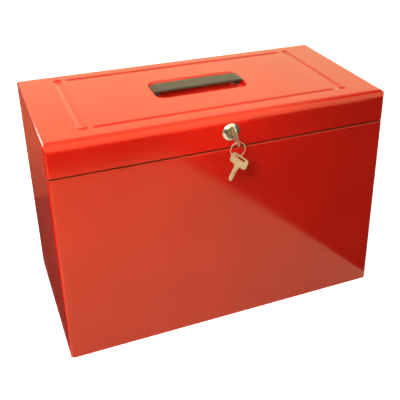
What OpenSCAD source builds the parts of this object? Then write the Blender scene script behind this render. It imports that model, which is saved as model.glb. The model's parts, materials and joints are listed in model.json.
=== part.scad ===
// Lockable sheet-steel box for hanging A4 files, with a lift-up carrying handle in a dished lid.
// The origin is the middle of the underside. X runs along the front, -Y is the front, +Z is up.

/* [Box] */
// Outside width of the box
box_w = 370; // [340:1:420]
// Outside depth of the box, front to back
box_d = 190; // [160:1:260]
// Height of the body up to its shoulder
body_h = 216.5; // [200:0.5:280]
// Height of the lid from its lower edge to its top
lid_h = 34; // [32:0.5:44]
// Gap between the body's shoulder and the lid's lower edge
lid_gap = 1.6; // [0.8:0.1:2]
// Thickness of the steel sheet
sheet = 1; // [0.8:0.1:1.2]
// Outside radius of the upright corners
corner_r = 4.5; // [4:0.5:8]

/* [Body] */
// Radius of the bend at the body's shoulder
shoulder_r = 2; // [1.5:0.1:2.4]
// Step from the body's outer face in to the outer face of the lip
lip_step = 2.6; // [2.4:0.1:3]
// Height of the lip above the shoulder
lip_h = 6; // [4:0.5:6.5]
// Width of the flange turned in under the base
base_flange = 13; // [10:1:20]

/* [Lid] */
// Outside radius of the lid's front and rear bends
bend_r = 10; // [9:0.5:10.5]
// Outside radius of the lid's bends at its two ends
end_r = 4.5; // [2.5:0.5:5]
// Distance from the lid's ends to the pressed bead
bead_end_inset = 42; // [34:1:60]
// Distance from the lid's front and rear to the pressed bead
bead_side_inset = 25.5; // [22:0.5:30]
// Radius of the tool that presses the bead
bead_tool_r = 6; // [4:0.5:8]
// Depth of the bead
bead_depth = 1.2; // [0.8:0.1:1.4]
// Distance from a corner dimple to the end of a long bead
long_bead_stop = 12.5; // [9:0.5:16]
// Distance from a corner dimple to the end of a short bead, which runs into the dimple
short_bead_stop = 7; // [6:0.5:16]
// Radius of the tool that presses a corner dimple
dimple_tool_r = 10; // [7:0.5:12]
// Depth of a corner dimple
dimple_depth = 1.8; // [1:0.1:2]

/* [Handle] */
// Length of the dished recess
dish_w = 103; // [96:1:130]
// Width of the dished recess
dish_d = 49; // [42:1:60]
// Depth of the dished recess
dish_depth = 5; // [4.5:0.5:8]
// Corner radius of the dished recess
dish_r = 8; // [6:0.5:12]
// How far the recess and the handle sit behind the middle of the lid
dish_back = 3; // [0:0.5:6]
// Outside radius of the bend round the rim of the recess
rim_r = 2.5; // [2:0.1:3]
// Inside radius of the bend round the floor of the recess
floor_r = 1; // [0.8:0.1:1.4]
// Width of the handle grip
grip_d = 22.5; // [18:0.5:26]
// Thickness of the handle grip
grip_t = 3; // [2.8:0.1:5]
// Height of the grip's underside above the lid
grip_rise = 0.6; // [0.5:0.1:3]
// Length of the grip's sloping ends
grip_slope = 5.5; // [4:0.5:8]
// Drop of the grip's sloping ends
grip_drop = 2.4; // [1.5:0.1:2.5]
// How far the handle lifts
handle_lift = 15; // [10:0.5:15]
// Thickness of a handle leg
leg_t = 3.5; // [2.5:0.5:4]
// Width of a handle leg where it passes through the lid
leg_d = 8; // [7:0.5:12]
// Extra width of the leg above the floor of the recess
leg_shoulder = 1.5; // [1:0.5:3]
// Radius of the stop pins through the legs
stop_pin_r = 1.25; // [1:0.05:1.5]

/* [Hinges] */
// Distance from an end of the box to the nearer end of a hinge
hinge_inset = 43; // [20:1:90]
// Length of a hinge
hinge_w = 60; // [50:1:80]
// Height of a hinge leaf
leaf_h = 18; // [14:1:20]
// Thickness of a hinge leaf
leaf_t = 1.2; // [1:0.1:1.6]
// Outside radius of a hinge knuckle
knuckle_r = 3; // [2.8:0.1:3.4]
// Radius of a hinge pin
pin_r = 1.5; // [1.2:0.1:1.6]

/* [Lock] */
// Height of the lock's axis above the lid's lower edge
lock_rise = 17; // [16.5:0.1:17.2]
// Radius of the lock's domed face
face_r = 9.5; // [9.2:0.1:11]
// How far the domed face stands out of the lid
face_out = 5; // [4:0.1:6]
// Radius of the lock's threaded barrel
barrel_r = 8; // [7.5:0.1:8.2]
// Distance across the flats of the barrel
barrel_flats = 13.5; // [13:0.1:14.5]
// Length of the barrel behind the lid's face
barrel_l = 14; // [13:0.5:16]
// Radius of the turning plug
plug_r = 5.5; // [5:0.1:6]
// Turn of the keyway from upright
keyway_turn = 12; // [0:1:15]
// Distance across the flats of the lock nut
nut_flats = 19; // [18.6:0.1:19.4]
// Radius of the lock washer
washer_r = 8.6; // [8.4:0.1:8.8]
// Thickness of the cam
cam_t = 2; // [1.5:0.1:2.5]
// Distance from the lock's axis down to the keeper stud
stud_drop = 12; // [11.5:0.1:12.5]
// Radius of the keeper stud
stud_r = 2.5; // [2:0.1:2.8]
// Thickness of the keeper bracket
keeper_t = 1.6; // [1.2:0.1:2]

/* [Keys] */
// Thickness of a key
key_t = 1.6; // [1.5:0.1:1.9]
// Width of a key's bow
bow_w = 21; // [20:0.5:24]
// Depth of a key's bow along the key
bow_d = 10.8; // [9:0.1:13]
// Length of a key's blade
blade_l = 15; // [12:0.5:16]
// Width of a key's blade
blade_w = 4.8; // [4.5:0.1:6]
// Length of the neck between the bow and the blade
neck_l = 3; // [2:0.5:5]
// Length of the slot in the bow
slot_l = 13; // [11:0.5:14]
// Width of the slot in the bow
slot_w = 2.5; // [2.4:0.1:3]
// Distance from the bow's outer edge to the middle of the slot
slot_edge = 2.5; // [2.2:0.1:3.5]
// Radius of the key ring to the middle of its wire
ring_r = 8; // [7:0.5:14]
// Radius of the key ring's wire
wire_r = 0.5; // [0.45:0.05:0.6]

/* [File rails] */
// Distance between the two rails' upright edges
rail_gap = 330; // [300:1:340]
// Distance from the body's shoulder down to the top edge of the rails
rail_drop = 10; // [7:1:30]
// Height of a rail's upright edge
rail_lip = 9; // [7:1:12]
// Height of the flange that is welded to the end wall
rail_flange = 16; // [12:1:24]
// Thickness of a rail
rail_t = 1.2; // [1:0.1:1.6]

/* [Hidden] */
$fn = 64;
eps = 0.01;
cut = 5;                       // how far a cutting tool runs past what it cuts
snug = 0.1;                    // clearance of a piece that is fixed in its seat
run = 0.05;                    // radial clearance of a turning fit
slide = 0.4;                   // clearance of a sliding leg in its slot
loose = 0.35;                  // clearance of a loose ring in a slot
lap = 0.5;                     // how far two regions of one pressed sheet run into each other

lid_z = body_h + lid_gap;      // lower edge of the lid
top_z = lid_z + lid_h;         // top of the lid
front_y = -box_d / 2;
rear_y = box_d / 2;

dish_floor = top_z - dish_depth;
grip_under = top_z + grip_rise;
grip_top = grip_under + grip_t;
grip_over_rim = 1;             // how far each end of the grip runs on over the rim of the recess
grip_half = dish_w / 2 + grip_over_rim;
leg_in = 2.5;                  // gap between a leg and the end wall of the recess
leg_x = dish_w / 2 - leg_in - leg_t / 2;
leg_bottom_extra = 2.5;         // leg left below the stop pin
stop_pin_reach = 4.5;           // how far a stop pin stands out on each side of its leg
pin_z = dish_floor - sheet - handle_lift - stop_pin_r - loose;
leg_bottom = pin_z - stop_pin_r - leg_bottom_extra;
stop_pin_l = leg_d + 2 * stop_pin_reach;

knuckle_gap = 0.3;             // gap between a knuckle and the rear wall
knuckle_count = 5;
hinge_x = box_w / 2 - hinge_inset - hinge_w / 2;
pitch = hinge_w / knuckle_count;
axis_y = rear_y + knuckle_r + knuckle_gap;
axis_z = body_h + lid_gap / 2;
pin_head_over = 0.7;           // how far a peened pin end stands proud of the pin
pin_head_r = pin_r + pin_head_over;
pin_head_t = 0.8;
leaf_clear = 0.4;              // gap between a leaf and the other leaf's knuckles

lock_z = lid_z + lock_rise;
plug_sink = 1.2;               // depth of the plug's face behind the top of the dome
plug_out = face_out - plug_sink;
plug_head_r = plug_r + 0.8;
plug_head_t = 1.6;
keyway_play = 0.4;             // how much wider and taller the keyway is than the blade
keyway_w = key_t + keyway_play;
keyway_h = blade_w + keyway_play;
keyway_l = blade_l + 1;
tang = 6;                      // side of the plug's square tail
tang_l = cam_t + snug;
washer_t = 1;
washer_gap = 0.2;
nut_t = 3;
hook_clear = 0.6;              // gap between the stud and the hook that swings in under it
hook_in = stud_drop + stud_r + hook_clear;
hook_w = 4;
hub_r = 7.5;
cam_gap = 0.2;                 // gap between the barrel's end and the cam
cam_z = -barrel_l - cam_gap - cam_t;
screw_r = 1.6;
screw_head_r = 3.8;
screw_head_t = 2.4;
screw_slot_w = 1;
screw_slot_t = 1.2;
screw_bore_l = 3;              // depth of the screw's bore past the tail of the plug

rail_top = body_h - rail_drop;

keeper_w = 18;
keeper_flange = 18;            // height of the keeper's flange on the body's front wall
keeper_in = 7.8;               // step of the keeper in from the body's front wall
keeper_back = front_y + sheet + keeper_in;
stud_z = lock_z - stud_drop;
keeper_over = 0.2;             // how far the keeper's tongue reaches above the stud
keeper_top = stud_z + stud_r + keeper_over;
keeper_below = 10;             // depth of the keeper's bend below the shoulder
keeper_bend_z = body_h - keeper_below;
stud_step = 0.6;               // how much narrower the stud's neck is than the stud
stud_neck_r = stud_r - stud_step;

key_seat_gap = 0.3;            // gap between the key's shoulder and the plug's face
key_shoulder = plug_out + key_seat_gap;
slot_v = neck_l + bow_d - slot_edge;
slot_end = slot_l / 2 - wire_r - loose;

// ---- shared shapes ----

// A rectangle with round corners, centred.
module plan(w, d, r) {
    square([w - 2 * r, d], center = true);
    square([w, d - 2 * r], center = true);
    for (x = [-1, 1], y = [-1, 1])
        translate([x * (w / 2 - r), y * (d / 2 - r)]) circle(r);
}

// A rectangle that stands on the X axis, centred on it, with its two upper corners round.
module arch(w, h, r) {
    translate([-w / 2, 0]) square([w, h - r]);
    translate([-w / 2 + r, 0]) square([w - 2 * r, h]);
    for (x = [-1, 1])
        translate([x * (w / 2 - r), h - r]) circle(r);
}

// Sweeps a flat section round a rectangle with round corners. The section's X = 0 runs along the
// rectangle, its +X points outwards and its +Y points up.
module swept(w, d, r) {
    for (k = [0:3]) {
        across = k % 2 == 0 ? w : d;
        along = k % 2 == 0 ? d : w;
        rotate(90 * k) translate([across / 2, 0, 0])
            rotate([90, 0, 0]) linear_extrude(along - 2 * r, center = true) children();
        translate([(k == 0 || k == 3 ? 1 : -1) * (w / 2 - r), (k < 2 ? 1 : -1) * (d / 2 - r), 0])
            rotate(90 * k) rotate_extrude(angle = 90) translate([r, 0]) children();
    }
}

// A quarter of a bent sheet, whose outside radius is r, centred on the origin in the upper right.
module bend(r) {
    intersection() {
        difference() { circle(r); circle(r - sheet); }
        square(r);
    }
}

// A round bar along X from -half to half with round ends.
module bar_x(half, r) {
    translate([-half, 0, 0]) rotate([0, 90, 0]) cylinder(h = 2 * half, r = r);
    for (x = [-half, half]) translate([x, 0, 0]) sphere(r);
}

// Everything on the lock's axis is drawn with +Z towards the front, X to the right and Y up.
module on_lock_axis() translate([0, front_y, lock_z]) rotate([90, 0, 0]) children();

module turned_keyway() rotate(keyway_turn) children();

// ---- body ----

// Wall, shoulder and lip as one section, measured from the wall's outer face.
module wall_section() {
    translate([-sheet, 0]) square([sheet, body_h - shoulder_r]);
    translate([-shoulder_r, body_h - shoulder_r]) bend(shoulder_r);
    translate([-lip_step - sheet, body_h - sheet]) square([lip_step + sheet - shoulder_r, sheet]);
    translate([-lip_step - sheet, body_h - sheet]) square([sheet, lip_h + sheet]);
}

module body_shell() color("crimson") {
    swept(box_w, box_d, corner_r) wall_section();
    linear_extrude(sheet) difference() {
        plan(box_w, box_d, corner_r);
        square([box_w - 2 * base_flange, box_d - 2 * base_flange], center = true);
    }
}

// A shallow pan: its rim lies on the flange and its floor comes down flush with the underside.
module base_panel() color("firebrick") {
    inner_w = box_w - 2 * (sheet + snug);
    inner_d = box_d - 2 * (sheet + snug);
    pan_w = box_w - 2 * (base_flange + snug);
    pan_d = box_d - 2 * (base_flange + snug);
    difference() {
        union() {
            translate([0, 0, sheet]) linear_extrude(sheet) plan(inner_w, inner_d, corner_r - sheet);
            linear_extrude(2 * sheet) square([pan_w, pan_d], center = true);
        }
        translate([0, 0, sheet]) linear_extrude(2 * sheet)
            square([pan_w - 2 * sheet, pan_d - 2 * sheet], center = true);
    }
}

// Right-hand rail section in X and Z: welded flange, shelf and upright edge for the file hooks.
module rail_section() {
    wall_x = box_w / 2 - sheet;
    lip_x = rail_gap / 2;
    shelf_z = rail_top - rail_lip;
    translate([wall_x - rail_t, shelf_z - rail_flange]) square([rail_t, rail_flange]);
    translate([lip_x, shelf_z - rail_t]) square([wall_x - lip_x, rail_t]);
    translate([lip_x, shelf_z - rail_t]) square([rail_t, rail_lip + rail_t / 2]);
    translate([lip_x + rail_t / 2, rail_top - rail_t / 2]) circle(rail_t / 2);
}

module file_rail() color("gainsboro") {
    rail_l = box_d - 2 * (sheet + snug + corner_r);
    rotate([90, 0, 0]) linear_extrude(rail_l, center = true) rail_section();
}

module file_rail_right() file_rail();
module file_rail_left() mirror([1, 0, 0]) file_rail();

// Stepped bracket welded inside the front wall. Its tongue stands behind the lip and carries the stud.
module keeper_section() {
    wall = front_y + sheet;
    translate([wall, keeper_bend_z - keeper_flange]) square([keeper_t, keeper_flange]);
    translate([wall, keeper_bend_z - keeper_t]) square([keeper_in + keeper_t, keeper_t]);
    translate([keeper_back, keeper_bend_z - keeper_t])
        square([keeper_t, keeper_top - keeper_bend_z + keeper_t]);
}

module lock_keeper() color("silver") difference() {
    rotate([90, 0, 90]) linear_extrude(keeper_w, center = true) keeper_section();
    translate([0, keeper_back - cut, stud_z]) rotate([-90, 0, 0]) cylinder(h = 2 * cut, r = stud_neck_r);
}

// Shouldered stud: its neck passes through the keeper and is peened on the front.
module keeper_stud() color("darkgray") {
    peen_t = 0.6;
    past_cam = 1;
    back = keeper_back + keeper_t;
    stud_l = front_y - cam_z + past_cam - back;
    translate([0, back, stud_z]) rotate([-90, 0, 0]) cylinder(h = stud_l, r = stud_r);
    translate([0, keeper_back - peen_t, stud_z]) rotate([-90, 0, 0])
        cylinder(h = keeper_t + peen_t + eps, r = stud_neck_r - run);
    translate([0, keeper_back - peen_t, stud_z]) rotate([-90, 0, 0]) cylinder(h = peen_t, r = stud_r);
}

// ---- hinges ----

// One leaf below (way = -1) or above (way = 1) the hinge line. It holds the knuckles listed in slots.
module hinge_leaf(way, slots) {
    root = knuckle_r + leaf_clear;
    difference() {
        union() {
            translate([-hinge_w / 2, rear_y, way > 0 ? axis_z + root : axis_z - root - leaf_h])
                cube([hinge_w, leaf_t, leaf_h]);
            for (k = slots) translate([-hinge_w / 2 + k * pitch + snug, 0, 0]) {
                translate([0, rear_y, way > 0 ? axis_z : axis_z - root - eps])
                    cube([pitch - 2 * snug, leaf_t, root + eps]);
                translate([0, axis_y, axis_z]) rotate([0, 90, 0])
                    cylinder(h = pitch - 2 * snug, r = knuckle_r);
            }
        }
        translate([-hinge_w, axis_y, axis_z]) rotate([0, 90, 0]) cylinder(h = 2 * hinge_w, r = pin_r + run);
    }
}

module hinge_pin() {
    translate([-hinge_w / 2 - snug, axis_y, axis_z]) rotate([0, 90, 0]) {
        cylinder(h = hinge_w + 2 * snug, r = pin_r);
        translate([0, 0, -pin_head_t]) cylinder(h = pin_head_t, r = pin_head_r);
        translate([0, 0, hinge_w + 2 * snug]) cylinder(h = pin_head_t, r = pin_head_r);
    }
}

module hinge_body_leaf_left() color("crimson") translate([-hinge_x, 0, 0]) hinge_leaf(-1, [0, 2, 4]);
module hinge_body_leaf_right() color("crimson") translate([hinge_x, 0, 0]) hinge_leaf(-1, [0, 2, 4]);
module hinge_lid_leaf_left() color("red") translate([-hinge_x, 0, 0]) hinge_leaf(1, [1, 3]);
module hinge_lid_leaf_right() color("red") translate([hinge_x, 0, 0]) hinge_leaf(1, [1, 3]);
module hinge_pin_left() color("silver") translate([-hinge_x, 0, 0]) hinge_pin();
module hinge_pin_right() color("silver") translate([hinge_x, 0, 0]) hinge_pin();

// ---- lid ----

// The lid's outer form, or with an inset its inner one: three crossing extrusions.
module lid_form(inset) {
    w = box_w - 2 * inset;
    d = box_d - 2 * inset;
    top = lid_h - inset;
    translate([0, 0, lid_z]) intersection() {
        translate([0, 0, -inset]) linear_extrude(top + inset) plan(w, d, corner_r - inset);
        translate([0, 0, -inset]) rotate([90, 0, 90])
            linear_extrude(box_w, center = true) arch(d, top + inset, bend_r - inset);
        translate([0, 0, -inset]) rotate([90, 0, 0])
            linear_extrude(box_d, center = true) arch(w, top + inset, end_r - inset);
    }
}

// The four beads of the pressed rectangle and its four corner dimples, made grow wider for the underside.
module pressed_beads(grow) {
    bead_x = box_w / 2 - bead_end_inset;
    bead_y = box_d / 2 - bead_side_inset;
    translate([0, 0, top_z + bead_tool_r - bead_depth]) {
        for (y = [-bead_y, bead_y])
            translate([0, y, 0]) bar_x(bead_x - long_bead_stop, bead_tool_r + grow);
        for (x = [-bead_x, bead_x])
            translate([x, 0, 0]) rotate(90) bar_x(bead_y - short_bead_stop, bead_tool_r + grow);
    }
    translate([0, 0, top_z + dimple_tool_r - dimple_depth])
        for (x = [-bead_x, bead_x], y = [-bead_y, bead_y])
            translate([x, y, 0]) sphere(dimple_tool_r + grow);
}

// Wall of the handle recess with the bends round its rim and its floor, measured from the recess's
// side. Past each bend it runs on flat for a short lap inside the top sheet and the floor.
module dish_section() {
    translate([0, dish_floor + floor_r]) square([sheet, dish_depth - floor_r - rim_r]);
    translate([rim_r, top_z - rim_r]) mirror([1, 0]) bend(rim_r);
    translate([rim_r, top_z - sheet]) square([lap, sheet]);
    translate([-floor_r, dish_floor + floor_r]) mirror([0, 1]) bend(floor_r + sheet);
    translate([-floor_r - lap, dish_floor - sheet]) square([lap, sheet]);
}

module barrel_outline(clear) intersection() {
    circle(barrel_r + clear);
    square([2 * barrel_r + cut, barrel_flats + 2 * clear], center = true);
}

module lid_shell() color("red") {
    difference() {
        union() {
            difference() {
                lid_form(0);
                lid_form(sheet);
            }
            intersection() {
                lid_form(0);
                pressed_beads(sheet);
            }
        }
        pressed_beads(0);
        translate([0, dish_back, top_z - 2 * sheet]) linear_extrude(cut)
            plan(dish_w + 2 * rim_r, dish_d + 2 * rim_r, dish_r + rim_r);
        on_lock_axis() linear_extrude(2 * cut, center = true) barrel_outline(snug);
    }
    translate([0, dish_back, 0]) swept(dish_w, dish_d, dish_r) dish_section();
    translate([0, dish_back, dish_floor - sheet]) linear_extrude(sheet) difference() {
        plan(dish_w - 2 * floor_r, dish_d - 2 * floor_r, dish_r - floor_r);
        for (x = [-leg_x, leg_x])
            translate([x, 0]) square([leg_t + 2 * slide, leg_d + 2 * slide], center = true);
    }
}

// ---- handle ----

// Side view of the grip with its sloping ends.
module grip_side() polygon([
    [-grip_half + grip_slope, grip_top], [grip_half - grip_slope, grip_top],
    [grip_half, grip_top - grip_drop], [grip_half, grip_under],
    [-grip_half, grip_under], [-grip_half, grip_top - grip_drop]]);

// Plan of the grip: its ends are a little narrower than its middle.
module grip_plan() {
    end_in = 1.8;
    polygon([for (side = [1, -1], p = [
            [-grip_half, grip_d / 2 - end_in], [-grip_half + grip_slope, grip_d / 2],
            [grip_half - grip_slope, grip_d / 2], [grip_half, grip_d / 2 - end_in]])
        [side * p[0], side * p[1]]]);
}

module handle_grip() color([0.25, 0.25, 0.22]) translate([0, dish_back, 0]) {
    edge_r = 0.4 * grip_t;
    intersection() {
        rotate([90, 0, 0]) linear_extrude(grip_d, center = true) grip_side();
        translate([0, 0, grip_under]) linear_extrude(grip_t) grip_plan();
        translate([0, 0, grip_under]) rotate([90, 0, 90])
            linear_extrude(2 * grip_half, center = true)
            translate([0, grip_t / 2]) plan(grip_d, grip_t, edge_r);
    }
    difference() {
        for (x = [-leg_x, leg_x]) {
            translate([x - leg_t / 2, -leg_d / 2, leg_bottom])
                cube([leg_t, leg_d, grip_under + eps - leg_bottom]);
            translate([x - leg_t / 2, -leg_d / 2 - leg_shoulder, dish_floor])
                cube([leg_t, leg_d + 2 * leg_shoulder, grip_under + eps - dish_floor]);
        }
        translate([0, 0, pin_z]) for (x = [-leg_x, leg_x])
            translate([x, -leg_d, 0]) rotate([-90, 0, 0]) cylinder(h = 2 * leg_d, r = stop_pin_r + run);
    }
}

module handle_stop_pins() color("silver") translate([0, dish_back, 0])
    for (x = [-leg_x, leg_x])
        translate([x, -stop_pin_l / 2, pin_z]) rotate([-90, 0, 0]) cylinder(h = stop_pin_l, r = stop_pin_r);

// ---- lock ----

// Domed face and flatted barrel, bored for the plug and counterbored for the plug's head.
module lock_housing() color("gainsboro") on_lock_axis() difference() {
    rim_t = 1.2;
    rise = face_out - rim_t;
    dome_r = (face_r * face_r + rise * rise) / (2 * rise);
    union() {
        intersection() {
            cylinder(h = face_out, r = face_r);
            translate([0, 0, face_out - dome_r]) sphere(dome_r);
        }
        translate([0, 0, -barrel_l]) linear_extrude(barrel_l + eps) barrel_outline(0);
    }
    translate([0, 0, -barrel_l - cut]) cylinder(h = barrel_l + face_out + 2 * cut, r = plug_r + run);
    translate([0, 0, plug_out - plug_head_t]) cylinder(h = cut, r = plug_head_r + run);
}

module lock_washer() color("silver") on_lock_axis()
    translate([0, 0, -sheet - washer_gap - washer_t]) linear_extrude(washer_t) difference() {
        circle(washer_r);
        barrel_outline(snug);
    }

module lock_nut() color("silver") on_lock_axis()
    translate([0, 0, -sheet - washer_gap - washer_t - nut_t]) linear_extrude(nut_t) difference() {
        circle(nut_flats / sqrt(3), $fn = 6);
        circle(barrel_r + run);
    }

module lock_plug() color("silver") on_lock_axis() turned_keyway() difference() {
    union() {
        translate([0, 0, -barrel_l - snug]) cylinder(h = barrel_l + plug_out + snug, r = plug_r);
        translate([0, 0, plug_out - plug_head_t + run]) cylinder(h = plug_head_t - run, r = plug_head_r);
        translate([0, 0, -barrel_l - snug - tang_l]) linear_extrude(tang_l + eps) square(tang, center = true);
    }
    translate([0, 0, plug_out - keyway_l]) linear_extrude(keyway_l + cut)
        square([keyway_w, keyway_h], center = true);
    translate([0, 0, -barrel_l - snug - tang_l - cut])
        cylinder(h = cut + tang_l + screw_bore_l, r = screw_r + run);
}

// Hook cam: an arm from the square-holed hub carries an arc that swings in under the keeper stud.
module cam_outline() {
    arm_from = 30;
    arm_to = 54;
    tip = -24;
    difference() {
        union() {
            circle(hub_r);
            intersection() {
                circle(hook_in + hook_w);
                pie(arm_from, arm_to);
            }
            difference() {
                intersection() {
                    circle(hook_in + hook_w);
                    pie(tip, arm_to);
                }
                circle(hook_in);
            }
            rotate(tip) translate([hook_in + hook_w / 2, 0]) circle(hook_w / 2);
        }
        turned_keyway() square(tang + 2 * run, center = true);
    }
}

// A wedge from one angle to another, counted from +X.
module pie(from, to) {
    reach = 3 * hook_in;
    polygon([[0, 0], reach * [cos(from), sin(from)], reach * [cos((from + to) / 2), sin((from + to) / 2)],
        reach * [cos(to), sin(to)]]);
}

module lock_cam() color("darkgray") on_lock_axis()
    translate([0, 0, cam_z]) linear_extrude(cam_t) cam_outline();

module cam_screw() color("silver") on_lock_axis() translate([0, 0, cam_z - snug]) {
    translate([0, 0, -screw_head_t]) difference() {
        cylinder(h = screw_head_t, r = screw_head_r);
        translate([0, 0, -eps]) linear_extrude(screw_slot_t)
            square([3 * screw_head_r, screw_slot_w], center = true);
    }
    translate([0, 0, -eps]) cylinder(h = tang_l + screw_bore_l - 1, r = screw_r);
}

// ---- keys ----

// Key outline: across is X, along is Y, with the blade's shoulder at Y = 0 and its tip at -blade_l.
module key_outline() {
    bow_r = 3.2;
    neck_flare = 1.7;          // how much wider the neck grows on each side
    neck_w = blade_w + 2 * neck_flare;
    joint = 1;                 // overlap of the neck with the bow and with the blade
    tip_l = 2.4;
    tip_in = 1.6;
    cuts = [0.9, 1.5, 0.7, 1.3];
    cut_half = 0.4;
    first_cut = 2;
    cut_step = (blade_l - tip_l - first_cut) / len(cuts);
    difference() {
        union() {
            translate([0, neck_l + bow_d / 2]) plan(bow_w, bow_d, bow_r);
            polygon([[-blade_w / 2, 0], [blade_w / 2, 0],
                [neck_w / 2, neck_l + joint], [-neck_w / 2, neck_l + joint]]);
            translate([-blade_w / 2, -blade_l + tip_l]) square([blade_w, blade_l - tip_l + joint]);
            polygon([[-blade_w / 2, -blade_l + tip_l], [-blade_w / 2 + tip_in, -blade_l],
                [blade_w / 2 - tip_in, -blade_l], [blade_w / 2, -blade_l + tip_l]]);
        }
        translate([0, slot_v]) plan(slot_l, slot_w, slot_w / 2 - eps);
        for (k = [0:len(cuts) - 1]) translate([blade_w / 2 - cuts[k], -first_cut - (k + 0.5) * cut_step])
            polygon([[0, cut_half], [cut, cut_half + cut / 2], [cut, -cut_half - cut / 2], [0, -cut_half]]);
    }
}

// A key standing with its blade down, its width along Y and its thickness along X.
module key() rotate([90, 0, 90]) linear_extrude(key_t, center = true) key_outline();

module key_in_lock() color([0.83, 0.72, 0.5]) on_lock_axis() turned_keyway()
    translate([0, 0, key_shoulder]) key();

// Middle of the ring's wire where it hangs in the lower end of the slot, and where the spare key hangs.
hang = [slot_end * sin(keyway_turn), front_y - key_shoulder - slot_v, lock_z - slot_end * cos(keyway_turn)];
ring_low = hang - [0, 0, 2 * ring_r];

module key_ring() color("gainsboro") translate(hang - [0, 0, ring_r]) rotate([90, 0, 0])
    rotate_extrude() translate([ring_r, 0]) circle(wire_r);

module spare_key() color([0.83, 0.72, 0.5]) {
    spare_turn = [-15.5, -19.5, -148];
    from_slot_end = 1.8;
    hold = slot_l / 2 - slot_w / 2 - from_slot_end;
    translate(ring_low) rotate(spare_turn) translate([0, hold, -slot_v]) key();
}

// ---- assembly ----
body_shell();
base_panel();
file_rail_left();
file_rail_right();
lock_keeper();
keeper_stud();
hinge_body_leaf_left();
hinge_body_leaf_right();
hinge_pin_left();
hinge_pin_right();
lid_shell();
hinge_lid_leaf_left();
hinge_lid_leaf_right();
lock_housing();
lock_washer();
lock_nut();
handle_grip();
handle_stop_pins();
lock_plug();
lock_cam();
cam_screw();
key_in_lock();
key_ring();
spare_key();
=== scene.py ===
import json
import math

import bmesh
import bpy
from mathutils import Matrix, Quaternion, Vector


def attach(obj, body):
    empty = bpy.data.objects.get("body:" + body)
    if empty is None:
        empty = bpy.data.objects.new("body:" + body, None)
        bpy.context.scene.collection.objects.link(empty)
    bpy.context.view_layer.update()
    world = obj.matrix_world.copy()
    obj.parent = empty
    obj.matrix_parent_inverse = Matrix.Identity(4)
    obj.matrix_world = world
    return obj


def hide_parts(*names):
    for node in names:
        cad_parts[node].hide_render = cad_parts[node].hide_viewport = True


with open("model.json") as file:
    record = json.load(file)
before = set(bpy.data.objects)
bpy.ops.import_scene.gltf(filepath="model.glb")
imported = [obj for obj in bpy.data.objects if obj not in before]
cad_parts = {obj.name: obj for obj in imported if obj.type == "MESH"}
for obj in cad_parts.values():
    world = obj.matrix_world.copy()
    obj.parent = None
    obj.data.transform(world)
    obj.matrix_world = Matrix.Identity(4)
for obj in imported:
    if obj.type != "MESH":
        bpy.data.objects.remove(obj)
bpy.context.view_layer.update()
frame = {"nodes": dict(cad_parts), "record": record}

nodes = frame["nodes"]
record = frame["record"]
MM = 0.001

# ---- Camera ----
# The box stands square on a white table and is seen from its front left corner, a little above the
# lid. The shift keeps the box low and left in a square frame.

view_azimuth = math.radians(-23.59)
view_height = math.radians(26.67)
view_roll = math.radians(0.43)
view_distance = 812.7 * MM
view_target = Vector((50.0, -2.8, 156.4)) * MM

back = Vector((math.sin(view_azimuth) * math.cos(view_height),
               -math.cos(view_azimuth) * math.cos(view_height), math.sin(view_height)))
bpy.ops.object.camera_add(location=view_target + back * view_distance)
camera = bpy.context.object
camera.rotation_mode = "QUATERNION"
camera.rotation_quaternion = (-back).to_track_quat("-Z", "Y") @ Quaternion((0, 0, 1), view_roll)
camera.data.sensor_width = 36.0
camera.data.lens = 60.73
camera.data.shift_x = -0.099
camera.data.shift_y = -0.113
bpy.context.scene.camera = camera
bpy.context.scene.view_settings.view_transform = "Standard"

# ---- Studio lamps ----
# One near lamp lights the front from the left, a narrow one the handle, and panels stand behind, above
# and at both sides. The two cards and the window strip show only in gloss. A dim room fills the shade.


def soft_light(name, place, aim, width, height, radiance, colour, beam=180):
    """Adds a rectangular soft light of an even brightness that faces a point."""
    bpy.ops.object.light_add(type="AREA", location=place)
    lamp = bpy.context.object
    lamp.name = name
    lamp.data.shape = "RECTANGLE"
    lamp.data.size, lamp.data.size_y = width, height
    lamp.data.energy = radiance * math.pi * width * height
    lamp.data.color = colour
    lamp.data.spread = math.radians(beam)
    lamp.rotation_euler = (Vector(aim) - Vector(place)).to_track_quat("-Z", "Y").to_euler()
    lamp.visible_camera = False
    return lamp


soft_light("near_lamp", (-0.42, -0.52, 0.62), (-0.07, -0.095, 0.0), 0.3, 0.3, 4.2, (1.0, 0.97, 0.9), 88)
soft_light("rear_panel", (0.6, 1.5, 1.05), (0.1, 0, 0.3), 4.0, 1.5, 1.4, (1.0, 0.92, 0.50))
soft_light("ceiling_panel", (0.2, -0.35, 1.85), (0.2, -0.35, 0), 1.5, 1.3, 1.6, (1.0, 0.97, 0.9))
soft_light("handle_lamp", (-0.15, -0.85, 0.78), (0, -0.006, 0.248), 0.10, 0.10, 1.25, (1.0, 0.97, 0.9), 10)
soft_light("side_panel", (-0.8, 0.15, 0.8), (-0.185, 0.02, 0.22), 0.5, 0.5, 2.4, (1.0, 0.95, 0.85))
soft_light("left_panel", (-1.5, -0.5, 0.7), (0, 0, 0.15), 1.4, 1.2, 1.1, (1.0, 0.93, 0.8))
soft_light("right_panel", (1.4, 0.5, 0.7), (0.185, 0.1, 0.15), 1.2, 1.0, 1.2, (1.0, 0.95, 0.88))
front_card = soft_light("front_card", (0.3, -1.3, 1.3), (0, 0, 0.25), 2.6, 1.9, 2.4, (1.0, 0.97, 0.93))
rear_card = soft_light("rear_card", (0.2, 0.93, 1.85), (0.2, 0.93, 0), 2.6, 1.2, 1.0, (1.0, 0.95, 0.8))
window_strip = soft_light("window_strip", (-0.81, 1.28, 0.38), (-0.183, -0.07, 0.25), 0.05, 0.4, 11.0,
                          (1, 1, 1))
for lamp in (front_card, rear_card, window_strip):
    lamp.visible_diffuse = False

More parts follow.
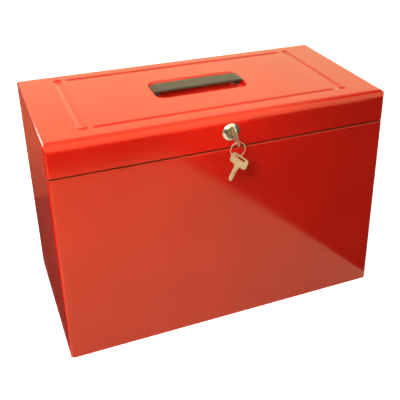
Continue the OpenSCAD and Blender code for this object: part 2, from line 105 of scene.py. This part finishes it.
room = bpy.data.worlds.new("room")
room.use_nodes = True
room.node_tree.nodes["Background"].inputs["Color"].default_value = (0.9, 0.95, 1.0, 1)
room.node_tree.nodes["Background"].inputs["Strength"].default_value = 0.17
bpy.context.scene.world = room

# ---- Table and backdrop ----
# A plain white table top runs to a round wall of white paper. Two boards lie on the table, a dark one in
# front and one beside the left end, which only the gloss of the paint shows. The colour of the one at the
# left end is painted shadow of the box and painted red bounce light: dark near the box, lighter further back.


class Channel:
    """One output of a material's nodes. Arithmetic with other channels and numbers adds Math nodes."""

    def __init__(self, tree, socket):
        self.tree = tree
        self.socket = socket

    def node(self, kind, settings, sockets, out=0):
        """Adds a node, sets it, fills its sockets with values or channels, and gives one output."""
        made = self.tree.nodes.new("ShaderNode" + kind)
        for name, value in settings.items():
            setattr(made, name, value)
        for name, value in sockets.items():
            if isinstance(value, Channel):
                self.tree.links.new(value.socket, made.inputs[name])
            else:
                made.inputs[name].default_value = value
        return Channel(self.tree, made.outputs[out])

    def math(self, operation, other=0.0):
        """One Math node on this value, and on a second one where the operation takes two."""
        return self.node("Math", {"operation": operation}, {0: self, 1: other})

    def __add__(self, other):
        return self.math("ADD", other)

    def __sub__(self, other):
        return self.math("SUBTRACT", other)

    def __rsub__(self, other):
        return self.node("Math", {"operation": "SUBTRACT"}, {0: other, 1: self})

    def __mul__(self, other):
        return self.math("MULTIPLY", other)

    __radd__ = __add__
    __rmul__ = __mul__

    def part(self, axis):
        """One part of this vector: 0 for X, 1 for Y, 2 for Z."""
        return self.node("SeparateXYZ", {}, {"Vector": self}, axis)

    def grade(self, low, high):
        """A soft step from 0 at low to 1 at high."""
        return self.node("MapRange", {"interpolation_type": "SMOOTHSTEP"}, {0: self, 1: low, 2: high})

    def blend(self, first, second):
        """The first colour where this is 0 and the second where it is 1."""
        return self.node("Mix", {"data_type": "RGBA"}, {0: self, 6: first, 7: second}, 2)

    def noise(self, scale, detail=2.0):
        """Cloudy values round a half, read at this place."""
        return self.node("TexNoise", {}, {"Vector": self, "Scale": scale, "Detail": detail})

    def feed(self, shader, socket):
        self.tree.links.new(self.socket, shader.inputs[socket])

    def relief(self, shader):
        """Lets this height, in metres, raise the surface."""
        self.node("Bump", {}, {"Height": self, "Strength": 1.0, "Distance": 1.0}).feed(shader, "Normal")


def new_finish(name, **constants):
    """A material whose even values sit on the shader. Gives it, its shader and the place on the piece."""
    made = bpy.data.materials.new(name)
    made.use_nodes = True
    shader = made.node_tree.nodes["Principled BSDF"]
    for socket, value in constants.items():
        shader.inputs[socket.replace("_", " ")].default_value = value
    place = made.node_tree.nodes.new("ShaderNodeTexCoord").outputs["Object"]
    return made, shader, Channel(made.node_tree, place)


def flat_sheet(name, corners):
    """A flat piece of board from its corners on the table, in mm."""
    mesh = bpy.data.meshes.new(name)
    mesh.from_pydata([Vector(corner) * MM for corner in corners], [], [range(len(corners))])
    sheet = bpy.data.objects.new(name, mesh)
    bpy.context.collection.objects.link(sheet)
    return sheet


white_top, shader, place = new_finish("table_white", Roughness=0.9)
place.noise(3.0).blend((0.89, 0.89, 0.89, 1), (0.91, 0.91, 0.91, 1)).feed(shader, "Base Color")
shader.inputs["Emission Color"].default_value = (1, 1, 1, 1)
shader.inputs["Emission Strength"].default_value = 0.68
bpy.ops.mesh.primitive_plane_add(size=14)
table = bpy.context.object
table.name = "table"
table.data.materials.append(white_top)
table.visible_diffuse = False

paper_wall, shader, place = new_finish("paper_wall", Roughness=1.0)
place.noise(0.5).blend((0.92, 0.93, 0.94, 1), (0.97, 0.97, 0.97, 1)).feed(shader, "Emission Color")
shader.inputs["Base Color"].default_value = (0, 0, 0, 1)
shader.inputs["Emission Strength"].default_value = 1.0
bpy.ops.mesh.primitive_cylinder_add(vertices=96, radius=6.9, depth=9, end_fill_type="NOTHING",
                                    location=(0, 0, 4.4))
paper = bpy.context.object
paper.name = "paper_wall"
paper.data.materials.append(paper_wall)
paper.visible_diffuse = paper.visible_glossy = paper.visible_shadow = False

dark_board, shader, place = new_finish("dark_board", Roughness=1.0)
place.noise(5.0).blend((0.05, 0.04, 0.03, 1), (0.07, 0.055, 0.04, 1)).feed(shader, "Base Color")
front_board = flat_sheet("front_board", [(190, -100, 1), (3000, -100, 1), (3000, -3000, 1), (-3000, -3000, 1),
                                         (-3000, -520, 1), (68, -520, 1), (152, -240, 1)])
front_board.data.materials.append(dark_board)
painted_shadow_board, shader, place = new_finish("painted_shadow_board", Roughness=1.0)
# Painted shadow and bounce light: dark red-brown near the box, where it shades the table, and lighter and
# reddish further back.
back_along = place.part(1)
painted_shadow_fade = 0.35 * back_along.grade(0.262, 0.274) + 0.65 * back_along.grade(0.27, 0.56)
painted_shadow_fade.blend((0.1, 0.02, 0.014, 1), (0.58, 0.13, 0.065, 1)).feed(shader, "Base Color")
left_board = flat_sheet("left_board", [(-185.4, -90, 1), (-185.4, 1600, 1), (-900, 1600, 1), (-900, -90, 1)])
left_board.data.materials.append(painted_shadow_board)
for board in (front_board, left_board):
    board.visible_camera = False
    board.visible_diffuse = False
    board.visible_shadow = False

# ---- Body shell ----
# Pressed and folded sheet steel, 1 mm thick, with a shoulder and a raised lip that the lid drops over.
# It is sprayed with thick red gloss paint, which lies a little wavy and with a fine orange-peel skin,
# and which is dull on the shoulder and the lip, where the colour is darkened as painted shade of the gap
# under the lid.

paint_gloss = (1.0, 0.75, 0.33, 1)
shoulder_height = 0.2145


def sprayed_paint(name, shade_dull_from=None):
    """Red gloss paint, which from a height on, in metres, can be made dull and darkened as painted shade."""
    made, shader, place = new_finish(name, IOR=1.5, Specular_Tint=paint_gloss)
    skin = place.noise(330.0)
    sag = place.noise(13.0, 1.0)
    colour = sag.grade(0.3, 0.7).blend((0.76, 0.012, 0.005, 1), (0.72, 0.010, 0.0045, 1))
    roughness = 0.10 + 0.05 * skin
    if shade_dull_from:
        # Painted shade: above the shoulder the colour darkens to stand for the shade in the gap under the
        # lid, and the paint is also made dull there.
        lip_shade_and_dullness = place.part(2).grade(shade_dull_from, shade_dull_from + 0.002)
        colour = lip_shade_and_dullness.blend(colour, (0.20, 0.003, 0.0015, 1))
        roughness = roughness + 0.45 * lip_shade_and_dullness
    colour.feed(shader, "Base Color")
    roughness.feed(shader, "Roughness")
    (0.000012 * skin + 0.00016 * sag).relief(shader)
    return made


red_paint = sprayed_paint("red_paint")
body_paint = sprayed_paint("body_paint", shoulder_height)


def coat(node, finish):
    """Gives a part that keeps its own shape its finish."""
    for slot in nodes[node].material_slots:
        slot.material = finish


coat("body_shell", body_paint)

# ---- Base panel ----
# A shallow pan of the same 1 mm sheet, laid on the body's flange from inside, spot welded and painted
# together with the body.

coat("base_panel", red_paint)

# ---- File rails ----
# Two galvanised strips, 1.2 mm thick, folded to a welded flange, a shelf and an upright edge that the
# hooks of hanging files run on. The zinc shows its frosty crystals and the weld marks of the flange.

zinc_rail, shader, place = new_finish("zinc_rail", Metallic=1.0)
crystals = place.node("TexVoronoi", {"feature": "F1"}, {"Vector": place, "Scale": 260.0}, 1)
frost = crystals.part(0)
tarnish = place.noise(28.0)
weld_step = place.part(1).math("PINGPONG", 0.021)
weld_rise = place.part(2) - 0.1895
weld_off = (weld_step * weld_step + weld_rise * weld_rise).math("SQRT")
on_flange = place.part(0).math("ABSOLUTE").grade(0.1825, 0.1828)
weld_mark = (1 - weld_off.grade(0.0022, 0.0030)) * on_flange
zinc_tone = (0.6 * frost + 0.4 * tarnish).blend((0.50, 0.52, 0.54, 1), (0.70, 0.71, 0.71, 1))
zinc_tone.feed(shader, "Base Color")
(0.3 + 0.14 * frost + 0.1 * tarnish + 0.12 * weld_mark).feed(shader, "Roughness")
(0.000006 * frost - 0.00012 * weld_mark).relief(shader)
coat("file_rail_left", zinc_rail)
coat("file_rail_right", zinc_rail)

# ---- Lock keeper and stud ----
# A stepped bracket of 1.6 mm zinc-plated steel, welded inside the front wall, and a shouldered stud
# whose neck goes through the bracket and is peened over. The hook of the lock's cam passes under it.

bodies = record["behaviour"]["bodies"]

zinc_steel, shader, place = new_finish("zinc_steel", Metallic=1.0)
cloud = place.noise(90.0)
rubs = place.node("Mapping", {}, {"Vector": place, "Scale": (1.0, 1.0, 14.0)}).noise(420.0, 3.0)
cloud.blend((0.60, 0.61, 0.60, 1), (0.74, 0.73, 0.68, 1)).feed(shader, "Base Color")
(0.24 + 0.1 * cloud + 0.08 * rubs).feed(shader, "Roughness")
(0.000008 * rubs).relief(shader)


def pick(piece):
    """Selects one object alone."""
    bpy.ops.object.select_all(action="DESELECT")
    piece.select_set(True)
    bpy.context.view_layer.objects.active = piece


def change(piece, kind, settings):
    """Adds a modifier to the piece and applies it."""
    pick(piece)
    modifier = piece.modifiers.new("made", kind)
    for name, value in settings.items():
        setattr(modifier, name, value)
    bpy.ops.object.modifier_apply(modifier=modifier.name)


def smooth(piece, angle=40):
    """Rounds the shading of bends and keeps flats flat and sharp edges sharp."""
    pick(piece)
    bpy.ops.object.shade_smooth_by_angle(angle=math.radians(angle))
    change(piece, "WEIGHTED_NORMAL", {"weight": 100, "keep_sharp": True})


def welded_copy(node, name):
    """Copies a part's solid and joins its loose triangles into clean faces."""
    piece = bpy.data.objects.new(name, nodes[node].data.copy())
    bpy.context.collection.objects.link(piece)
    pick(piece)
    bpy.ops.mesh.customdata_custom_splitnormals_clear()
    bpy.ops.object.mode_set(mode="EDIT")
    bpy.ops.mesh.select_all(action="SELECT")
    bpy.ops.mesh.remove_doubles(threshold=0.003 * MM)
    bpy.ops.mesh.dissolve_limited(angle_limit=math.radians(0.6))
    bpy.ops.mesh.normals_make_consistent(inside=False)
    bpy.ops.object.mode_set(mode="OBJECT")
    return piece


def ease(piece, width, segments=2):
    """Takes the sharpness off the edges, as tumbling and plating do."""
    change(piece, "BEVEL", {"width": width * MM, "segments": segments, "limit_method": "ANGLE",
                            "angle_limit": math.radians(38)})
    smooth(piece)


def settle(piece, node, finish):
    """Gives a new piece its finish, and lets it stand for a node on that node's body."""
    piece.data.materials.clear()
    piece.data.materials.append(finish)
    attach(piece, next(body for body in bodies if node in bodies[body]))
    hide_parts(node)


keeper = welded_copy("lock_keeper", "stepped_keeper")
ease(keeper, 0.25)
settle(keeper, "lock_keeper", zinc_steel)
stud = welded_copy("keeper_stud", "peened_stud")
ease(stud, 0.3)
settle(stud, "keeper_stud", zinc_steel)

# ---- Hinges ----
# Two five-knuckle butt hinges of 1.2 mm steel. Each leaf is rolled round the pin, spot welded to the
# rear wall and painted with it. The pins are plain wire with peened ends.

hinge_at = 112
hinge_wide = 60
pin_y, pin_height = 98.3, 217.3
leaf_near, leaf_far = 3.4, 21.4
knuckle_pitch, knuckle_gap = 12, 0.1


def choose(piece, kind, test):
    """In edit mode, selects only the vertices, edges or faces whose middle and normal pass a test."""
    bpy.ops.mesh.select_mode(type=kind)
    bpy.ops.mesh.select_all(action="DESELECT")
    shape = bmesh.from_edit_mesh(piece.data)
    for part in {"VERT": shape.verts, "EDGE": shape.edges, "FACE": shape.faces}[kind]:
        if kind == "VERT":
            middle, way = part.co, part.normal
        elif kind == "EDGE":
            middle = (part.verts[0].co + part.verts[1].co) / 2
            way = (part.verts[1].co - part.verts[0].co).normalized()
        else:
            middle, way = part.calc_center_median(), part.normal
        if test(middle / MM, way):
            part.select = True
    shape.select_flush_mode()
    bmesh.update_edit_mesh(piece.data)


def block(name, low, high):
    """A cuboid between two corners in mm, left in edit mode."""
    low, high = Vector(low) * MM, Vector(high) * MM
    bpy.ops.object.select_all(action="DESELECT")
    bpy.ops.mesh.primitive_cube_add(size=1)
    piece = bpy.context.object
    piece.name = name
    piece.data.transform(Matrix.LocRotScale((low + high) / 2, None, high - low))
    bpy.ops.object.mode_set(mode="EDIT")
    return piece


def joined(name, pieces):
    """Joins pieces into the first one."""
    bpy.ops.object.select_all(action="DESELECT")
    for piece in pieces:
        piece.select_set(True)
    bpy.context.view_layer.objects.active = pieces[0]
    bpy.ops.object.join()
    pieces[0].name = name
    return pieces[0]


def copied(piece, name, matrix):
    """A copy of a piece with its own mesh, moved by a matrix."""
    copy = bpy.data.objects.new(name, piece.data.copy())
    bpy.context.collection.objects.link(copy)
    copy.data.transform(matrix)
    return copy


def hinge_leaf(name, way, knuckles):
    """A leaf below (way -1) or above (way 1) the pin of a hinge whose middle is at x = 0."""
    near, far = pin_height + way * leaf_near, pin_height + way * leaf_far
    plate = block(name, (-hinge_wide / 2, 95, min(near, far)), (hinge_wide / 2, 96.2, max(near, far)))
    choose(plate, "EDGE", lambda at, along: abs(along.y) > 0.9 and abs(at.z - far) < 0.1)
    bpy.ops.mesh.bevel(offset=3 * MM, segments=6)
    choose(plate, "FACE", lambda at, out: out.y > 0.9)
    bpy.ops.mesh.inset(thickness=0.35 * MM, depth=0)
    bpy.ops.object.mode_set(mode="OBJECT")
    parts = [plate]
    for slot in knuckles:
        left = -hinge_wide / 2 + slot * knuckle_pitch + knuckle_gap
        right = left + knuckle_pitch - 2 * knuckle_gap
        roll = block("roll", (left, 95.3, min(pin_height, near)), (right, 96.7, max(pin_height, near)))
        choose(roll, "FACE", lambda at, out: -way * out.z > 0.9)
        bpy.ops.mesh.spin(steps=26, angle=way * math.radians(325), axis=(1, 0, 0),
                          center=(0, pin_y * MM, pin_height * MM))
        bpy.ops.mesh.select_all(action="SELECT")
        bpy.ops.mesh.normals_make_consistent(inside=False)
        bpy.ops.object.mode_set(mode="OBJECT")
        parts.append(roll)
    leaf = joined(name, parts)
    ease(leaf, 0.18)
    return leaf


lower_leaf = hinge_leaf("lower_leaf", -1, (0, 2, 4))
upper_leaf = hinge_leaf("upper_leaf", 1, (1, 3))
hinge_paint, shader, place = new_finish("hinge_paint", IOR=1.5, Specular_Tint=paint_gloss)
skin = place.noise(330.0)
from_middle = place.part(0).math("ABSOLUTE") - hinge_at * MM
off_weld = from_middle.math("ABSOLUTE") - 0.017
off_row = (place.part(2) - pin_height * MM).math("ABSOLUTE") - 0.0125
from_weld = (off_weld * off_weld + off_row * off_row).math("SQRT")
weld_dent = 1 - from_weld.grade(0.0016, 0.0030)
weld_dent.blend((0.74, 0.011, 0.005, 1), (0.60, 0.008, 0.004, 1)).feed(shader, "Base Color")
(0.12 + 0.06 * skin + 0.05 * weld_dent).feed(shader, "Roughness")
(0.000015 * skin - 0.00022 * weld_dent).relief(shader)
for side, at in (("left", -hinge_at), ("right", hinge_at)):
    place_there = Matrix.Translation((at * MM, 0, 0))
    settle(copied(lower_leaf, "lower_leaf_" + side, place_there), "hinge_body_leaf_" + side, hinge_paint)
    settle(copied(upper_leaf, "upper_leaf_" + side, place_there), "hinge_lid_leaf_" + side, hinge_paint)
    pin = welded_copy("hinge_pin_" + side, "peened_pin_" + side)
    ease(pin, 0.35, 3)
    settle(pin, "hinge_pin_" + side, zinc_steel)
for pattern in (lower_leaf, upper_leaf):
    bpy.data.objects.remove(pattern)

# ---- Lid shell ----
# One pressing of 1 mm sheet with bent edges, painted as the body is. Four beads and four corner
# dimples stiffen its top, and a recess for the fingers is drawn down under the handle.

lid_top = 252.1
bead_x, bead_y = 143, 69.5
long_bead_stop, short_bead_stop = 12.5, 7
bead_tool, bead_depth = 6, 1.2
dimple_tool, dimple_depth = 10, 1.8
recess_y = 3


def pressed(distance, tool, depth):
    """Depth of a pressed mark at a distance from its middle: the tool's round runs out in a softer one."""
    rim = 3.0
    turn = math.acos(1 - depth / (tool + rim))
    reach = (tool + rim) * math.sin(turn)
    if distance > reach:
        return 0.0
    if distance > tool * math.sin(turn):
        return rim - math.sqrt(rim ** 2 - (reach - distance) ** 2)
    return depth - tool + math.sqrt(tool ** 2 - distance ** 2)


def top_marks(x, y):
    """Depth of the beads and dimples at a place on the top."""
    x, y = abs(x), abs(y)
    long_bead = math.hypot(max(0, x - (bead_x - long_bead_stop)), y - bead_y)
    short_bead = math.hypot(x - bead_x, max(0, y - (bead_y - short_bead_stop)))
    dimple = math.hypot(x - bead_x, y - bead_y)
    return max(pressed(min(long_bead, short_bead), bead_tool, bead_depth),
               pressed(dimple, dimple_tool, dimple_depth))


lid = welded_copy("lid_shell", "lid_pressing")
bpy.ops.object.mode_set(mode="EDIT")
cuts = [((side * (121 + step), 0, 0), (1, 0, 0)) for side in (-1, 1) for step in range(32)]
cuts += [((0, side * (60.5 + step), 0), (0, 1, 0)) for side in (-1, 1) for step in range(19)]
for point, normal in cuts:
    bpy.ops.mesh.select_all(action="SELECT")
    bpy.ops.mesh.bisect(plane_co=Vector(point) * MM, plane_no=normal)
sheet_metal = bmesh.from_edit_mesh(lid.data)
sheet_metal.normal_update()
upper = [corner.normal.z > 0 for corner in sheet_metal.verts]
for corner, above in zip(sheet_metal.verts, upper):
    x, y, z = corner.co / MM
    on_top = z > lid_top - 3.2 and abs(x) < 160 and abs(y) < 80
    in_recess = abs(x) < 57 and abs(y - recess_y) < 30
    if on_top and not in_recess:
        corner.co.z = (lid_top - top_marks(x, y) - (0 if above else 1)) * MM
bmesh.update_edit_mesh(lid.data)
bpy.ops.object.mode_set(mode="OBJECT")
smooth(lid, 32)
settle(lid, "lid_shell", red_paint)

# ---- Handle grip ----
# One moulding of dark grained plastic: a flat strap with sloping ends and a rib under its rear edge. Under
# each end a shoulder and a leg slide in a slot of the recess.

handle_plastic, shader, place = new_finish("handle_plastic", IOR=1.49, Specular_IOR_Level=0.3)
grain = place.noise(1100.0, 4.0)
blotch = place.noise(60.0)
cast = 0.5 * grain + 0.5 * blotch
cast.blend((0.030, 0.023, 0.011, 1), (0.085, 0.067, 0.036, 1)).feed(shader, "Base Color")
(0.36 + 0.2 * grain).feed(shader, "Roughness")
(0.00005 * grain).relief(shader)

strap = block("strap", (-47, -8.25, 252.7), (47, 14.25, 255.7))
for end in (-1, 1):
    choose(strap, "FACE", lambda at, out: out.x * end > 0.9)
    bpy.ops.mesh.extrude_region_move(TRANSFORM_OT_translate={"value": (end * 5.5 * MM, 0, 0)})
    bpy.ops.transform.resize(value=(1, 18.9 / 22.5, 1), center_override=(0, recess_y * MM, 254.2 * MM))
    choose(strap, "VERT", lambda at, out: at.x * end > 52 and at.z > 255)
    bpy.ops.transform.translate(value=(0, 0, -2.4 * MM))
choose(strap, "EDGE", lambda at, along: abs(along.x) > 0.9)
bpy.ops.mesh.bevel(offset=1.1 * MM, segments=4)
bpy.ops.object.mode_set(mode="OBJECT")
grip_parts = [strap]
for side in (-1, 1):
    middle = side * 47.25
    leg = block("leg", (middle - 1.75, -2.5, 247.1), (middle + 1.75, 8.5, 253.2))
    choose(leg, "FACE", lambda at, out: out.z < -0.9)
    bpy.ops.mesh.extrude_region_move(TRANSFORM_OT_translate={"value": (0, 0, -0.01 * MM)})
    bpy.ops.transform.resize(value=(1, 8 / 11, 1), center_override=(0, recess_y * MM, 247.09 * MM))
    bpy.ops.mesh.extrude_region_move(TRANSFORM_OT_translate={"value": (0, 0, -21.34 * MM)})
    bpy.ops.object.mode_set(mode="OBJECT")
    grip_parts.append(leg)
rib = block("rib", (-45.6, 12.0, 249.6), (45.6, 13.6, 253.0))
bpy.ops.object.mode_set(mode="OBJECT")
grip = joined("strap_grip", grip_parts + [rib])
ease(grip, 0.35, 3)
settle(grip, "handle_grip", handle_plastic)

# ---- Handle stop pins ----
# A short steel pin goes through the foot of each leg and stops the handle at the top of its lift.

stop_pins = welded_copy("handle_stop_pins", "stop_pins")
ease(stop_pins, 0.25)
settle(stop_pins, "handle_stop_pins", zinc_steel)

# ---- Lock housing ----
# Turned brass, plated with nickel: a domed face in front, and behind it a threaded barrel with two
# flats that keep it from turning in the lid. It is bored for the plug.

nickel_lock, shader, place = new_finish("nickel_lock", Metallic=1.0)
film = place.noise(140.0)
tool_marks = place.node("Mapping", {}, {"Vector": place, "Scale": (1.0, 6.0, 1.0)}).noise(700.0, 3.0)
film.blend((0.34, 0.31, 0.20, 1), (0.44, 0.41, 0.29, 1)).feed(shader, "Base Color")
(0.12 + 0.1 * film + 0.06 * tool_marks).feed(shader, "Roughness")
(0.000006 * tool_marks).relief(shader)

lock_axis = Matrix.Translation((0, -95 * MM, 235.1 * MM)) @ Matrix.Rotation(math.radians(90), 4, "X")


def turned(name, profile, sides):
    """Turns a closed profile of radius and height, in mm, round the Z axis."""
    bpy.ops.object.select_all(action="DESELECT")
    bpy.ops.mesh.primitive_circle_add(vertices=sides, radius=profile[0][0] * MM,
                                      location=(0, 0, profile[0][1] * MM))
    piece = bpy.context.object
    piece.name = name
    bpy.ops.object.transform_apply(location=True)
    bpy.ops.object.mode_set(mode="EDIT")
    for (radius, height), (next_radius, next_height) in zip(profile, profile[1:] + profile[:1]):
        bpy.ops.mesh.extrude_edges_move(
            TRANSFORM_OT_translate={"value": (0, 0, (next_height - height) * MM)})
        bpy.ops.transform.resize(value=(next_radius / radius, next_radius / radius, 1),
                                 center_override=(0, 0, 0))
    bpy.ops.mesh.select_all(action="SELECT")
    bpy.ops.mesh.remove_doubles(threshold=0.002 * MM)
    bpy.ops.mesh.normals_make_consistent(inside=False)
    bpy.ops.object.mode_set(mode="OBJECT")
    return piece


dome_radius = 13.775
crest, root = 8.0, 7.5
half_flats = 6.75 * MM
dome = [(radius, 5 - dome_radius + math.sqrt(dome_radius ** 2 - radius ** 2))
        for radius in (6.6, 7.1, 7.6, 8.1, 8.6, 9.0, 9.3)]
thread = []
for turn in range(12):
    thread += [(crest, -1.9 - turn), (7.95, -2.05 - turn), (root, -2.4 - turn), (root, -2.5 - turn)]
housing = turned("lock_barrel", [(5.55, -14), (5.55, 2.2), (6.35, 2.2), (6.35, 3.35)] + dome
                 + [(9.5, 1.15), (9.5, 0.2), (9.3, 0), (crest, 0)] + thread + [(root, -14)], 72)
bpy.ops.object.mode_set(mode="EDIT")
barrel = bmesh.from_edit_mesh(housing.data)
for corner in barrel.verts:
    if corner.co.z < -0.1 * MM and corner.co.xy.length > 7 * MM:
        corner.co.y = max(-half_flats, min(half_flats, corner.co.y))
bmesh.update_edit_mesh(housing.data)
bpy.ops.object.mode_set(mode="OBJECT")
housing.data.transform(lock_axis)
smooth(housing, 35)
settle(housing, "lock_housing", nickel_lock)

# ---- Lock washer and nut ----
# A plain washer and a thin hexagon nut of zinc-plated steel clamp the lock to the lid from inside.

washer = welded_copy("lock_washer", "plain_washer")
ease(washer, 0.15)
settle(washer, "lock_washer", zinc_steel)
nut = welded_copy("lock_nut", "thin_nut")
ease(nut, 0.3, 3)
settle(nut, "lock_nut", zinc_steel)

# ---- Lock plug ----
# Nickel-plated like the housing, with a rimmed head, a keyway that stands a little turned, and a square
# tail for the cam. It turns with the key.

plug = welded_copy("lock_plug", "keyed_plug")
ease(plug, 0.18, 3)
settle(plug, "lock_plug", nickel_lock)

# ---- Cam and its screw ----
# A hook stamped from 2 mm steel and zinc plated, held on the plug's tail by a slotted screw.

cam = welded_copy("lock_cam", "hook_cam")
ease(cam, 0.25)
settle(cam, "lock_cam", zinc_steel)
screw = welded_copy("cam_screw", "slotted_screw")
ease(screw, 0.3, 3)
settle(screw, "cam_screw", zinc_steel)

# ---- Keys ----
# Two alike, stamped from 1.6 mm brass sheet with a soft tarnish: a wide bow with a slot for the ring,
# a flared neck, and a blade with a milled groove on each side and four cuts.

key_metal, shader, place = new_finish("key_metal", Metallic=0.85)
bloom = place.noise(220.0)
grind = place.noise(1500.0, 3.0)
bloom.blend((0.43, 0.33, 0.17, 1), (0.53, 0.41, 0.23, 1)).feed(shader, "Base Color")
(0.36 + 0.1 * bloom + 0.06 * grind).feed(shader, "Roughness")
(0.00001 * grind).relief(shader)

key_place = lock_axis @ Matrix.Rotation(math.radians(12), 4, "Z") @ Matrix.Translation((0, 0, 4.1 * MM))
blank = welded_copy("key_in_lock", "blank")
blank.data.transform(key_place.inverted())
for side in (-1, 1):
    mill = block("mill", (side * 1.3 - 0.9, -0.45, -17), (side * 1.3 + 0.9, 0.55, -0.8))
    choose(mill, "EDGE", lambda at, along: abs(at.x - side * 0.4) < 0.1 and abs(along.z) > 0.9)
    bpy.ops.mesh.bevel(offset=0.15 * MM, segments=2)
    bpy.ops.object.mode_set(mode="OBJECT")
    change(blank, "BOOLEAN", {"object": mill, "operation": "DIFFERENCE", "solver": "EXACT"})
    bpy.data.objects.remove(mill)
ease(blank, 0.16, 2)

ring_x, ring_y, ring_z = 1.1747, -110.4, 221.573
ring_radius = 8
spare_place = (Matrix.Translation((ring_x * MM, ring_y * MM, (ring_z - ring_radius) * MM))
               @ Matrix.Rotation(math.radians(-148), 4, "Z")
               @ Matrix.Rotation(math.radians(-19.5), 4, "Y")
               @ Matrix.Rotation(math.radians(-15.5), 4, "X")
               @ Matrix.Translation((0, 3.45 * MM, -11.3 * MM)))
settle(copied(blank, "key_turned_in", key_place), "key_in_lock", key_metal)
settle(copied(blank, "key_on_ring", spare_place), "spare_key", key_metal)
bpy.data.objects.remove(blank)

# ---- Key ring ----
# A ring of thin plated wire, bent round until its two ends meet.

ring_wire, shader, place = new_finish("ring_wire", Metallic=0.8)
dull = place.noise(300.0)
# The pink-orange base colour is painted reflection of the red box round the ring.
dull.blend((0.62, 0.34, 0.22, 1), (0.72, 0.44, 0.30, 1)).feed(shader, "Base Color")
(0.34 + 0.16 * dull).feed(shader, "Roughness")
(0.000006 * dull).relief(shader)

ring_middle = Vector((ring_x, ring_y, ring_z)) * MM
wire_radius = 0.5
bpy.ops.object.select_all(action="DESELECT")
bpy.ops.mesh.primitive_circle_add(vertices=16, radius=wire_radius * MM, fill_type="NGON",
                                  location=ring_middle + Vector((ring_radius * MM, 0, 0)))
wire = bpy.context.object
bpy.ops.object.transform_apply(location=True)
bpy.ops.object.mode_set(mode="EDIT")
bpy.ops.mesh.spin(steps=90, angle=math.radians(358.9), axis=(0, 1, 0), center=ring_middle)
bpy.ops.mesh.select_all(action="SELECT")
bpy.ops.mesh.normals_make_consistent(inside=False)
bpy.ops.transform.rotate(value=math.radians(35), orient_axis="Y", center_override=ring_middle)
bpy.ops.object.mode_set(mode="OBJECT")
wire.name = "wire_ring"
smooth(wire, 50)
settle(wire, "key_ring", ring_wire)
